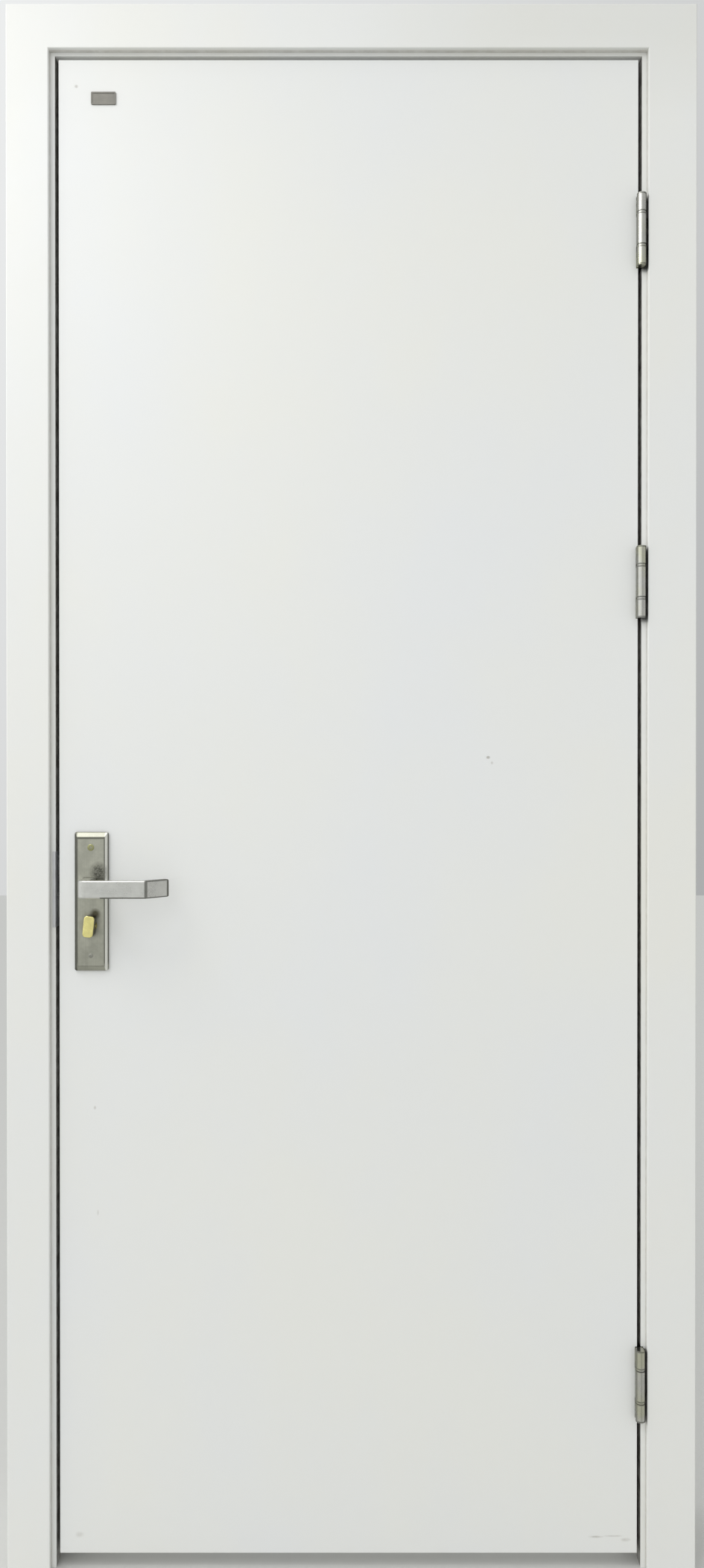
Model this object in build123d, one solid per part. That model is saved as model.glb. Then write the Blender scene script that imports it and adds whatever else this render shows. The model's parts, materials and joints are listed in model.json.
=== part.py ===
from build123d import *
import os

# Composite door: a flush leaf hung on butt hinges in a lined frame with flat architraves.
# All sizes are in millimetres. The origin is at the foot of the hinge jamb's wall face, on
# its front edge. +X points out of the hinge jamb into the wall, +Y goes through the doorway
# from the front to the back, and +Z is up. The front of the closed leaf lies at y = 0.

# Leaf
LEAF_WIDTH = 794.0
LEAF_HEIGHT = 2050.0
LEAF_THICKNESS = 40.0
SKIN_THICKNESS = 4.0
STILE_WIDTH = 95.0
TOP_RAIL_HEIGHT = 90.0
BOTTOM_RAIL_HEIGHT = 140.0
SKIN_EDGE_RADIUS = 1.0
LEADING_EDGE_BEVEL = 1.6

# Gaps round the leaf
EDGE_GAP = 5.0
FLOOR_GAP = 20.0

# Frame lining
JAMB_THICKNESS = 35.0
FRAME_DEPTH = 130.0
STOP_PROJECTION = 12.0
STOP_DEPTH = 42.0
STOP_SETBACK = 4.0

# Seal strip in the stop
SEAL_BULB_WIDTH = 7.0
SEAL_BULB_RADIUS = 1.4
SEAL_STEM_WIDTH = 3.0
SEAL_STEM_DEPTH = 4.0
SEAL_INSET = 2.0
SEAL_LEAF_CLEARANCE = 0.3

# Architraves
ARCHITRAVE_THICKNESS = 10.0
LOCK_ARCHITRAVE_WIDTH = 58.0
HINGE_ARCHITRAVE_WIDTH = 66.0
HEAD_ARCHITRAVE_WIDTH = 60.0
SIDE_REVEAL = 6.5
HEAD_REVEAL = 5.0
ARCHITRAVE_EDGE_RADIUS = 1.5

# Butt hinges
HINGE_HEIGHT = 98.0
HINGE_PLATE_WIDTH = 30.0
HINGE_PLATE_THICKNESS = 3.0
TOP_HINGE_FROM_TOP = 236.0
MIDDLE_HINGE_FROM_TOP = 715.5
BOTTOM_HINGE_FROM_BOTTOM = 236.0
KNUCKLE_RADIUS = 6.5
PIN_RADIUS = 3.0
PIN_CLEARANCE = 0.05
PIN_CAP_THICKNESS = 1.2
PIN_SETOUT = 8.0
DOOR_KNUCKLE_HEIGHT = 41.0
BEARING_HEIGHT = 3.4
BEARING_RADIUS = 6.1
KNUCKLE_CLEARANCE = 0.3

# Lock in the leaf
BACKSET = 45.0
SPINDLE_HEIGHT = 919.0
CYLINDER_DROP = 53.5
LOCK_CASE_DEPTH = 76.0
LOCK_CASE_HEIGHT = 165.0
LOCK_CASE_THICKNESS = 15.0
LOCK_CASE_RISE = 60.0
FOREND_HEIGHT = 235.0
FOREND_WIDTH = 24.0
FOREND_THICKNESS = 3.0
LATCH_RISE = 24.0
LATCH_SIZE = (22.0, 12.0, 18.0)
LATCH_BEVEL = 8.0
BOLT_DROP = 30.0
BOLT_SIZE = (30.0, 14.0, 28.0)
LOCK_FIT = 0.2

# Cylinder and thumb turn
CYLINDER_RADIUS = 8.5
CYLINDER_HEIGHT = 33.0
CYLINDER_TAIL_WIDTH = 10.0
CYLINDER_PROUD = 1.0
KEYWAY_WIDTH = 1.6
KEYWAY_HEIGHT = 8.5
KEYWAY_DEPTH = 14.0
TURN_SHAFT_RADIUS = 4.0
TURN_SHAFT_LENGTH = 12.0
TURN_COLLAR_RADIUS = 6.6
TURN_COLLAR_LENGTH = 3.5
TURN_GRIP_WIDTH = 14.0
TURN_GRIP_HEIGHT = 29.0
TURN_GRIP_DEPTH = 12.0
TURN_GRIP_CORNER = 4.5
TURN_GRIP_EDGE = 1.2
TURN_TILT = 6.0
TURN_CLEARANCE = 0.3

# Handle plates
PLATE_WIDTH = 46.0
PLATE_HEIGHT = 190.0
PLATE_THICKNESS = 8.0
PLATE_RIM = 3.0
PLATE_CORNER_RADIUS = 3.0
PLATE_SIDE_BEVEL = 4.5
PLATE_END_BEVEL = 7.0
PLATE_RISE = 74.0

# Levers on their square spindle
LEVER_HEIGHT = 24.0
LEVER_THICKNESS = 9.0
LEVER_PROJECTION = 58.0
LEVER_NECK_WIDTH = 16.5
LEVER_BEND_LENGTH = 84.0
LEVER_REACH = 110.0
LEVER_TIP_PROJECTION = 30.0
LEVER_OUTER_RADIUS = 12.0
LEVER_INNER_RADIUS = 5.0
LEVER_EDGE_RADIUS = 2.2
LEVER_COLLAR_RADIUS = 11.5
LEVER_COLLAR_LENGTH = 3.5
LEVER_JOURNAL_RADIUS = 8.0
LEVER_CLEARANCE = 0.3
SPINDLE_SIDE = 8.0
SPINDLE_FIT = 0.05
SPINDLE_SOCKET = 30.0
SPINDLE_HOLE_RADIUS = 6.2
SKIN_HOLE_RADIUS = 9.0

# Strike plate in the lock jamb
STRIKE_HEIGHT = 104.0
STRIKE_DROP = 5.0
STRIKE_THICKNESS = 2.0
STRIKE_WIDTH = 32.0
STRIKE_LIP_WIDTH = 4.0
STRIKE_LIP_PROUD = 1.0
KEEP_DEPTH = 16.0
KEEP_CLEARANCE = 2.0

# Badge on the leaf
BADGE_WIDTH = 34.0
BADGE_HEIGHT = 17.2
BADGE_THICKNESS = 1.6
BADGE_RIM_WIDTH = 1.8
BADGE_FIELD_DEPTH = 0.6
BADGE_CORNER_RADIUS = 1.5
BADGE_FROM_LOCK_EDGE = 61.8
BADGE_FROM_TOP = 53.0

# Places that follow from the sizes
HINGE_REBATE_X = -JAMB_THICKNESS
LEAF_HINGE_X = HINGE_REBATE_X - EDGE_GAP
LEAF_LOCK_X = LEAF_HINGE_X - LEAF_WIDTH
LOCK_REBATE_X = LEAF_LOCK_X - EDGE_GAP
LOCK_WALL_X = LOCK_REBATE_X - JAMB_THICKNESS
LEAF_TOP_Z = FLOOR_GAP + LEAF_HEIGHT
HEAD_SOFFIT_Z = LEAF_TOP_Z + EDGE_GAP
HEAD_TOP_Z = HEAD_SOFFIT_Z + JAMB_THICKNESS
PIN_X = HINGE_REBATE_X - EDGE_GAP / 2
PIN_Y = -PIN_SETOUT
SPINDLE_X = LEAF_LOCK_X + BACKSET
SPINDLE_Z = FLOOR_GAP + SPINDLE_HEIGHT
CYLINDER_Z = SPINDLE_Z - CYLINDER_DROP
LEAF_MIDDLE_Y = LEAF_THICKNESS / 2
HINGE_CENTRES = {
    "top": LEAF_TOP_Z - TOP_HINGE_FROM_TOP,
    "middle": LEAF_TOP_Z - MIDDLE_HINGE_FROM_TOP,
    "bottom": FLOOR_GAP + BOTTOM_HINGE_FROM_BOTTOM,
}


def block(x_span, y_span, z_span):
    """A box between the low and high ends of three spans."""
    spans = (x_span, y_span, z_span)
    sizes = [high - low for low, high in spans]
    centre = [(low + high) / 2 for low, high in spans]
    return Pos(*centre) * Box(*sizes)


def around(middle, size):
    """The span of one size about its middle."""
    return (middle - size / 2, middle + size / 2)


def rod(x, z, radius, y_span):
    """A round bar along Y."""
    middle = (y_span[0] + y_span[1]) / 2
    return Pos(x, middle, z) * Rot(90, 0, 0) * Cylinder(radius, y_span[1] - y_span[0])


def front_face_plate(outline, y_span):
    """A flat outline seen from the front, drawn in x and z, made solid between two depths."""
    face = Plane.XZ.offset(-y_span[1]) * outline
    return extrude(face, amount=y_span[1] - y_span[0], dir=(0, -1, 0))


def to_back(shape):
    """The same shape on the other side of the leaf's middle plane."""
    return mirror(shape, Plane.XZ.offset(-LEAF_MIDDLE_Y))


def surround(inner, outer, y_span):
    """Lock side, hinge side and head of a border round the doorway, mitred at the top.

    inner and outer hold the border's lock side x, hinge side x and head z.
    """
    lock_in, hinge_in, top_in = inner
    lock_out, hinge_out, top_out = outer
    outlines = {
        "lock_side": [(lock_out, 0), (lock_in, 0), (lock_in, top_in), (lock_out, top_out)],
        "hinge_side": [(hinge_in, 0), (hinge_out, 0), (hinge_out, top_out), (hinge_in, top_in)],
        "head": [(lock_in, top_in), (hinge_in, top_in), (hinge_out, top_out), (lock_out, top_out)],
    }
    return {
        side: front_face_plate(Polygon(*points, align=None), y_span)
        for side, points in outlines.items()
    }


def long_edges(side, shape, at_back):
    """The two long edges of one border piece on its front or its back face."""
    along = Axis.X if side == "head" else Axis.Z
    layers = shape.edges().filter_by(along).group_by(Axis.Y)
    return layers[-1] if at_back else layers[0]


def architraves(y_span, at_back):
    """The flat boards that cover the joint between the lining and the wall."""
    inner = (LOCK_REBATE_X - SIDE_REVEAL, HINGE_REBATE_X + SIDE_REVEAL, HEAD_SOFFIT_Z + HEAD_REVEAL)
    outer = (
        inner[0] - LOCK_ARCHITRAVE_WIDTH,
        inner[1] + HINGE_ARCHITRAVE_WIDTH,
        inner[2] + HEAD_ARCHITRAVE_WIDTH,
    )
    boards = surround(inner, outer, y_span)
    return {
        side: fillet(long_edges(side, board, at_back), ARCHITRAVE_EDGE_RADIUS)
        for side, board in boards.items()
    }


def rebate_line(inset):
    """The lining's inner line, moved into the doorway by an inset."""
    return (LOCK_REBATE_X + inset, HINGE_REBATE_X - inset, HEAD_SOFFIT_Z - inset)


def stops():
    """The strips that the leaf closes against, with a groove for the seal."""
    front = LEAF_THICKNESS + STOP_SETBACK
    strips = surround(rebate_line(STOP_PROJECTION), rebate_line(0), (front, front + STOP_DEPTH))
    stems = seal_stems()
    return {side: strip - stems[side] for side, strip in strips.items()}


def seal_stems():
    """The stems of the seal, pressed into the stop."""
    front = LEAF_THICKNESS + STOP_SETBACK
    near = SEAL_INSET + (SEAL_BULB_WIDTH - SEAL_STEM_WIDTH) / 2
    return surround(
        rebate_line(near + SEAL_STEM_WIDTH), rebate_line(near), (front, front + SEAL_STEM_DEPTH)
    )


def seals():
    """The rubber strips behind the leaf's edges."""
    y_span = (LEAF_THICKNESS + SEAL_LEAF_CLEARANCE, LEAF_THICKNESS + STOP_SETBACK)
    inner = rebate_line(SEAL_INSET + SEAL_BULB_WIDTH)
    bulbs = surround(inner, rebate_line(SEAL_INSET), y_span)
    stems = seal_stems()
    return {
        side: fillet(long_edges(side, bulb, False), SEAL_BULB_RADIUS) + stems[side]
        for side, bulb in bulbs.items()
    }


def hinge_span(name):
    """The lowest and highest points of one hinge."""
    return around(HINGE_CENTRES[name], HINGE_HEIGHT)


def hinge_plate_box(x_span, name):
    """One hinge plate without its knuckles."""
    return block(x_span, (0, HINGE_PLATE_WIDTH), hinge_span(name))


DOOR_PLATE_X = (LEAF_HINGE_X - HINGE_PLATE_THICKNESS, LEAF_HINGE_X)
FRAME_PLATE_X = (HINGE_REBATE_X, HINGE_REBATE_X + HINGE_PLATE_THICKNESS)


def hinge_levels(name):
    """Heights where one hinge's knuckles, bearings and caps begin and end."""
    low, high = hinge_span(name)
    middle = (low + high) / 2
    half = DOOR_KNUCKLE_HEIGHT / 2
    return {
        "door": (middle - half, middle + half),
        "lower_bearing": (
            middle - half - KNUCKLE_CLEARANCE - BEARING_HEIGHT,
            middle - half - KNUCKLE_CLEARANCE,
        ),
        "upper_bearing": (
            middle + half + KNUCKLE_CLEARANCE,
            middle + half + KNUCKLE_CLEARANCE + BEARING_HEIGHT,
        ),
        "lower_frame": (low + PIN_CAP_THICKNESS, middle - half - KNUCKLE_CLEARANCE - BEARING_HEIGHT),
        "upper_frame": (
            middle + half + KNUCKLE_CLEARANCE + BEARING_HEIGHT,
            high - PIN_CAP_THICKNESS,
        ),
        "lower_cap": (low, low + PIN_CAP_THICKNESS),
        "upper_cap": (high - PIN_CAP_THICKNESS, high),
    }


def upright(radius, z_span):
    """A round bar on the hinge's pin line."""
    middle = (z_span[0] + z_span[1]) / 2
    return Pos(PIN_X, PIN_Y, middle) * Cylinder(radius, z_span[1] - z_span[0])


def knuckled(plate, plate_x, z_spans):
    """A hinge plate with its knuckles rolled round the pin's bore."""
    for z_span in z_spans:
        plate += block(plate_x, (PIN_Y, 0), z_span) + upright(KNUCKLE_RADIUS, z_span)
    return plate - upright(PIN_RADIUS + PIN_CLEARANCE, (0, HEAD_TOP_Z))


def hinge_pieces(name):
    """The two plates, the pin and the two bearing rings of one hinge."""
    levels = hinge_levels(name)
    door_plate = knuckled(hinge_plate_box(DOOR_PLATE_X, name), DOOR_PLATE_X, [levels["door"]])
    frame_plate = knuckled(
        hinge_plate_box(FRAME_PLATE_X, name),
        FRAME_PLATE_X,
        [levels["lower_frame"], levels["upper_frame"]],
    )
    pin = upright(PIN_RADIUS, hinge_span(name))
    for cap in ("lower_cap", "upper_cap"):
        pin += upright(KNUCKLE_RADIUS, levels[cap])
    bearings = [
        upright(BEARING_RADIUS, levels[level]) - upright(PIN_RADIUS + PIN_CLEARANCE, levels[level])
        for level in ("lower_bearing", "upper_bearing")
    ]
    return {
        f"hinge_{name}_door_plate": door_plate,
        f"hinge_{name}_frame_plate": frame_plate,
        f"hinge_{name}_pin": pin,
        f"hinge_{name}_bearings": Compound(children=bearings),
    }


def keep(size, z, clearance):
    """A pocket in the lock jamb that takes one bolt."""
    reach = (LOCK_REBATE_X - KEEP_DEPTH, LOCK_REBATE_X)
    return block(
        reach,
        around(LEAF_MIDDLE_Y, size[1] + 2 * clearance),
        around(z, size[2] + 2 * clearance),
    )


def keeps():
    """The pockets for the latch and the dead bolt."""
    return keep(LATCH_SIZE, SPINDLE_Z + LATCH_RISE, KEEP_CLEARANCE) + keep(
        BOLT_SIZE, SPINDLE_Z - BOLT_DROP, KEEP_CLEARANCE
    )


def strike_blank():
    """The strike plate's outer shape, a plate with its lip turned over the jamb's edge."""
    z_span = around(SPINDLE_Z - STRIKE_DROP, STRIKE_HEIGHT)
    plate = block((LOCK_REBATE_X - STRIKE_THICKNESS, LOCK_REBATE_X), (0, STRIKE_WIDTH), z_span)
    lip = block(
        (LOCK_REBATE_X - STRIKE_LIP_WIDTH, LOCK_REBATE_X),
        (-STRIKE_LIP_PROUD, STRIKE_THICKNESS - STRIKE_LIP_PROUD),
        z_span,
    )
    return plate + lip


def jamb(x_span):
    """One upright of the lining."""
    return block(x_span, (0, FRAME_DEPTH), (0, HEAD_SOFFIT_Z))


def hinge_jamb():
    """The upright that carries the hinges, let in for their plates."""
    post = jamb((HINGE_REBATE_X, 0))
    for name in HINGE_CENTRES:
        post -= hinge_plate_box(FRAME_PLATE_X, name)
    return post


def lock_jamb():
    """The upright that the lock shuts into."""
    return jamb((LOCK_WALL_X, LOCK_REBATE_X)) - strike_blank() - keeps()


def head_jamb():
    """The lining's top, which rests on both uprights."""
    return block((LOCK_WALL_X, 0), (0, FRAME_DEPTH), (HEAD_SOFFIT_Z, HEAD_TOP_Z))


def leading_edge_waste():
    """The wedge planed off the leaf's lock edge so that it clears the jamb as it swings."""
    back = LEAF_THICKNESS
    wedge = Polygon(
        (LEAF_LOCK_X, 0),
        (LEAF_LOCK_X + LEADING_EDGE_BEVEL, back),
        (LEAF_LOCK_X, back),
        align=None,
    )
    return extrude(wedge, amount=LEAF_TOP_Z)


def hinge_recesses():
    """The leaf's recesses for its hinge plates."""
    return [hinge_plate_box(DOOR_PLATE_X, name) for name in HINGE_CENTRES]


def lock_case_box():
    """The lock case's outer shape."""
    front = LEAF_LOCK_X + FOREND_THICKNESS
    top = SPINDLE_Z + LOCK_CASE_RISE
    return block(
        (front, front + LOCK_CASE_DEPTH),
        around(LEAF_MIDDLE_Y, LOCK_CASE_THICKNESS),
        (top - LOCK_CASE_HEIGHT, top),
    )


def forend_middle_z():
    """The height of the middle of the lock case and its forend."""
    return SPINDLE_Z + LOCK_CASE_RISE - LOCK_CASE_HEIGHT / 2


def forend_box():
    """The lock's forend before its windows are cut."""
    return block(
        (LEAF_LOCK_X, LEAF_LOCK_X + FOREND_THICKNESS),
        around(LEAF_MIDDLE_Y, FOREND_WIDTH),
        around(forend_middle_z(), FOREND_HEIGHT),
    )


def bolt_box(size, z, fit):
    """One bolt drawn back flush with the leaf's edge, or its pocket with a fit."""
    return block(
        (LEAF_LOCK_X, LEAF_LOCK_X + size[0]),
        around(LEAF_MIDDLE_Y, size[1] + 2 * fit),
        around(z, size[2] + 2 * fit),
    )


def latch_bolt():
    """The spring latch, drawn back, with its nose bevelled on the closing side."""
    latch = bolt_box(LATCH_SIZE, SPINDLE_Z + LATCH_RISE, 0)
    back = LEAF_MIDDLE_Y + LATCH_SIZE[1] / 2
    nose = Polygon(
        (LEAF_LOCK_X, back - LATCH_BEVEL),
        (LEAF_LOCK_X + LATCH_BEVEL / 2, back),
        (LEAF_LOCK_X, back),
        align=None,
    )
    return latch - extrude(nose, amount=LEAF_TOP_Z) - leading_edge_waste()


def dead_bolt():
    """The dead bolt, drawn back flush."""
    return bolt_box(BOLT_SIZE, SPINDLE_Z - BOLT_DROP, 0) - leading_edge_waste()


def bolt_pockets():
    """The clearance that both bolts slide in."""
    return bolt_box(LATCH_SIZE, SPINDLE_Z + LATCH_RISE, LOCK_FIT) + bolt_box(
        BOLT_SIZE, SPINDLE_Z - BOLT_DROP, LOCK_FIT
    )


def cylinder_profile(fit):
    """The keyhole-shaped section of the lock cylinder, seen from the front."""
    radius = CYLINDER_RADIUS + fit
    tail_radius = CYLINDER_TAIL_WIDTH / 2 + fit
    tail_length = CYLINDER_HEIGHT - CYLINDER_RADIUS - CYLINDER_TAIL_WIDTH / 2
    barrel = Pos(SPINDLE_X, CYLINDER_Z) * Circle(radius)
    foot = Pos(SPINDLE_X, CYLINDER_Z - tail_length) * Circle(tail_radius)
    tail = Pos(SPINDLE_X, CYLINDER_Z - tail_length / 2) * Rectangle(2 * tail_radius, tail_length)
    return barrel + tail + foot


def cylinder_passage():
    """The hole for the cylinder through the leaf and out of its back."""
    return front_face_plate(
        cylinder_profile(LOCK_FIT), (0, LEAF_THICKNESS + PLATE_THICKNESS + CYLINDER_PROUD)
    )


def spindle_passage(radius):
    """A hole for the turning spindle."""
    return rod(SPINDLE_X, SPINDLE_Z, radius, (0, LEAF_THICKNESS))


def lock_case():
    """The mortise lock's case, with room for the spindle, the cylinder and the bolts."""
    case = lock_case_box() - bolt_pockets() - cylinder_passage()
    return case - spindle_passage(SPINDLE_HOLE_RADIUS)


def forend():
    """The plate on the leaf's edge that the bolts come out of."""
    return forend_box() - bolt_pockets() - leading_edge_waste()


def cylinder():
    """The lock cylinder, with a key side at the back and a round nose at the front."""
    back = LEAF_THICKNESS + PLATE_THICKNESS + CYLINDER_PROUD
    body = front_face_plate(cylinder_profile(0), (0, back))
    nose = rod(SPINDLE_X, CYLINDER_Z, CYLINDER_RADIUS, (-PLATE_THICKNESS, 0))
    bore_end = TURN_SHAFT_LENGTH - PLATE_THICKNESS + TURN_CLEARANCE
    bore = rod(
        SPINDLE_X,
        CYLINDER_Z,
        TURN_SHAFT_RADIUS + PIN_CLEARANCE,
        (-PLATE_THICKNESS, bore_end),
    )
    keyway = block(
        around(SPINDLE_X, KEYWAY_WIDTH),
        (back - KEYWAY_DEPTH, back),
        around(CYLINDER_Z, KEYWAY_HEIGHT),
    )
    return body + nose - bore - keyway


def thumb_turn():
    """The brass turn: a shaft in the cylinder, a collar and a flat grip."""
    face = -PLATE_THICKNESS
    collar_end = face - TURN_CLEARANCE - TURN_COLLAR_LENGTH
    shaft = rod(SPINDLE_X, CYLINDER_Z, TURN_SHAFT_RADIUS, (collar_end, face + TURN_SHAFT_LENGTH))
    collar = rod(
        SPINDLE_X, CYLINDER_Z, TURN_COLLAR_RADIUS, (collar_end, face - TURN_CLEARANCE)
    )
    outline = RectangleRounded(TURN_GRIP_WIDTH, TURN_GRIP_HEIGHT, TURN_GRIP_CORNER)
    placed = Pos(SPINDLE_X, CYLINDER_Z) * Rot(0, 0, -TURN_TILT) * outline
    grip = front_face_plate(placed, (collar_end - TURN_GRIP_DEPTH, collar_end))
    rim = grip.faces().sort_by(Axis.Y)[0].edges()
    return fillet(rim, TURN_GRIP_EDGE) + collar + shaft


def handle_plate_blank():
    """A long handle plate with bevelled sides and ends, before its holes."""
    top = SPINDLE_Z + PLATE_RISE
    middle = top - PLATE_HEIGHT / 2
    outline = Pos(SPINDLE_X, middle) * RectangleRounded(
        PLATE_WIDTH, PLATE_HEIGHT, PLATE_CORNER_RADIUS
    )
    slab = front_face_plate(outline, (-PLATE_THICKNESS, 0))
    half_width = PLATE_WIDTH / 2
    across = Polygon(
        (SPINDLE_X - half_width, 0),
        (SPINDLE_X - half_width, -PLATE_RIM),
        (SPINDLE_X - half_width + PLATE_SIDE_BEVEL, -PLATE_THICKNESS),
        (SPINDLE_X + half_width - PLATE_SIDE_BEVEL, -PLATE_THICKNESS),
        (SPINDLE_X + half_width, -PLATE_RIM),
        (SPINDLE_X + half_width, 0),
        align=None,
    )
    side_bevels = extrude(across, amount=HEAD_TOP_Z)
    half_height = PLATE_HEIGHT / 2
    along = Polygon(
        (0, middle - half_height),
        (-PLATE_RIM, middle - half_height),
        (-PLATE_THICKNESS, middle - half_height + PLATE_END_BEVEL),
        (-PLATE_THICKNESS, middle + half_height - PLATE_END_BEVEL),
        (-PLATE_RIM, middle + half_height),
        (0, middle + half_height),
        align=None,
    )
    end_bevels = extrude(Plane.YZ.offset(LOCK_WALL_X) * along, amount=-LOCK_WALL_X, dir=(1, 0, 0))
    return slab & side_bevels & end_bevels


def front_handle_plate():
    """The plate on the thumb turn's side."""
    holes = rod(
        SPINDLE_X, SPINDLE_Z, LEVER_JOURNAL_RADIUS + LEVER_CLEARANCE, (-PLATE_THICKNESS, 0)
    ) + rod(SPINDLE_X, CYLINDER_Z, CYLINDER_RADIUS + LOCK_FIT, (-PLATE_THICKNESS, 0))
    return handle_plate_blank() - holes


def back_handle_plate():
    """The plate on the key's side."""
    journal = LEVER_JOURNAL_RADIUS + LEVER_CLEARANCE
    hole = rod(SPINDLE_X, SPINDLE_Z, journal, (-PLATE_THICKNESS, 0))
    return to_back(handle_plate_blank() - hole) - cylinder_passage()


def rounded(outline, corner, radius):
    """An outline with the corner nearest a point rounded."""
    nearest = outline.vertices().sort_by_distance(Vector(*corner))[0]
    return fillet(nearest, radius)


def lever():
    """The front lever: journal, collar, neck, flat bar and the end bent back to the leaf."""
    neck = LEVER_NECK_WIDTH / 2
    root = -PLATE_THICKNESS - LEVER_CLEARANCE - LEVER_COLLAR_LENGTH
    back_of_bar = LEVER_THICKNESS - LEVER_PROJECTION
    run = LEVER_REACH - LEVER_BEND_LENGTH
    drop = LEVER_PROJECTION - LEVER_TIP_PROJECTION
    slope = (run**2 + drop**2) ** 0.5
    tip_inner_x = LEVER_REACH - LEVER_THICKNESS * drop / slope
    tip_inner_y = -LEVER_TIP_PROJECTION + LEVER_THICKNESS * run / slope
    bend_inner_x = tip_inner_x - (tip_inner_y - back_of_bar) * run / drop
    outline = Polygon(
        (-neck, root),
        (-neck, -LEVER_PROJECTION),
        (LEVER_BEND_LENGTH, -LEVER_PROJECTION),
        (LEVER_REACH, -LEVER_TIP_PROJECTION),
        (tip_inner_x, tip_inner_y),
        (bend_inner_x, back_of_bar),
        (neck, back_of_bar),
        (neck, root),
        align=None,
    )
    outline = rounded(outline, (-neck, -LEVER_PROJECTION), LEVER_OUTER_RADIUS)
    outline = rounded(outline, (neck, back_of_bar), LEVER_INNER_RADIUS)
    outline = rounded(outline, (LEVER_BEND_LENGTH, -LEVER_PROJECTION), LEVER_EDGE_RADIUS)
    bar = extrude(Pos(0, 0, -LEVER_HEIGHT / 2) * outline, amount=LEVER_HEIGHT)
    faces = bar.faces().filter_by(Axis.Z)
    bar = fillet(faces.edges(), LEVER_EDGE_RADIUS)
    bar = Pos(SPINDLE_X, 0, SPINDLE_Z) * bar
    collar = rod(
        SPINDLE_X, SPINDLE_Z, LEVER_COLLAR_RADIUS, (root, -PLATE_THICKNESS - LEVER_CLEARANCE)
    )
    journal = rod(
        SPINDLE_X, SPINDLE_Z, LEVER_JOURNAL_RADIUS, (-PLATE_THICKNESS - LEVER_CLEARANCE, 0)
    )
    socket = block(
        around(SPINDLE_X, SPINDLE_SIDE + 2 * SPINDLE_FIT),
        (-SPINDLE_SOCKET, 0),
        around(SPINDLE_Z, SPINDLE_SIDE + 2 * SPINDLE_FIT),
    )
    return bar + collar + journal - socket


def spindle():
    """The square bar that both levers turn."""
    return block(
        around(SPINDLE_X, SPINDLE_SIDE),
        (-SPINDLE_SOCKET, LEAF_THICKNESS + SPINDLE_SOCKET),
        around(SPINDLE_Z, SPINDLE_SIDE),
    )


def skin_sheet(y_span, at_back):
    """One face sheet of the leaf with softened outer edges."""
    sheet = block((LEAF_LOCK_X, LEAF_HINGE_X), y_span, (FLOOR_GAP, LEAF_TOP_Z))
    faces = sheet.faces().sort_by(Axis.Y)
    outer = faces[-1] if at_back else faces[0]
    return fillet(outer.edges(), SKIN_EDGE_RADIUS)


def leaf_pieces():
    """The leaf's two skins over stiles, rails and a core."""
    inner_y = (SKIN_THICKNESS, LEAF_THICKNESS - SKIN_THICKNESS)
    back_y = (LEAF_THICKNESS - SKIN_THICKNESS, LEAF_THICKNESS)
    lock_stile_x = (LEAF_LOCK_X, LEAF_LOCK_X + STILE_WIDTH)
    hinge_stile_x = (LEAF_HINGE_X - STILE_WIDTH, LEAF_HINGE_X)
    between = (lock_stile_x[1], hinge_stile_x[0])
    top_rail_z = (LEAF_TOP_Z - TOP_RAIL_HEIGHT, LEAF_TOP_Z)
    bottom_rail_z = (FLOOR_GAP, FLOOR_GAP + BOTTOM_RAIL_HEIGHT)
    full_z = (FLOOR_GAP, LEAF_TOP_Z)
    holes = spindle_passage(SKIN_HOLE_RADIUS) + cylinder_passage()
    edge = leading_edge_waste()
    lock_stile = block(lock_stile_x, inner_y, full_z) - edge - holes - forend_box()
    hinge_stile = block(hinge_stile_x, inner_y, full_z)
    front = skin_sheet((0, SKIN_THICKNESS), False) - edge - holes
    back = skin_sheet(back_y, True) - edge - holes
    for recess in hinge_recesses():
        hinge_stile -= recess
        front -= recess
        back -= recess
    return {
        "front_skin": front,
        "back_skin": back,
        "lock_stile": lock_stile - lock_case_box() - bolt_pockets(),
        "hinge_stile": hinge_stile,
        "top_rail": block(between, inner_y, top_rail_z),
        "bottom_rail": block(between, inner_y, bottom_rail_z),
        "core": block(between, inner_y, (bottom_rail_z[1], top_rail_z[0])),
    }


def badge():
    """A bare metal badge with a raised rim."""
    centre_x = LEAF_LOCK_X + BADGE_FROM_LOCK_EDGE
    centre_z = LEAF_TOP_Z - BADGE_FROM_TOP
    outer = Pos(centre_x, centre_z) * RectangleRounded(
        BADGE_WIDTH, BADGE_HEIGHT, BADGE_CORNER_RADIUS
    )
    field = Pos(centre_x, centre_z) * Rectangle(
        BADGE_WIDTH - 2 * BADGE_RIM_WIDTH, BADGE_HEIGHT - 2 * BADGE_RIM_WIDTH
    )
    plate = front_face_plate(outer, (-BADGE_THICKNESS, 0))
    return plate - front_face_plate(field, (-BADGE_THICKNESS, BADGE_FIELD_DEPTH - BADGE_THICKNESS))


def frame_pieces():
    """The lining, its stops and seals, and the architraves on both faces."""
    pieces = {
        "lock_jamb": lock_jamb(),
        "hinge_jamb": hinge_jamb(),
        "head_jamb": head_jamb(),
        "strike_plate": strike_blank() - keeps(),
    }
    back_y = (FRAME_DEPTH, FRAME_DEPTH + ARCHITRAVE_THICKNESS)
    borders = {
        "stop": stops(),
        "seal": seals(),
        "front_architrave": architraves((-ARCHITRAVE_THICKNESS, 0), False),
        "back_architrave": architraves(back_y, True),
    }
    for kind, sides in borders.items():
        for side, shape in sides.items():
            pieces[f"{kind}_{side}"] = shape
    return pieces


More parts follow.
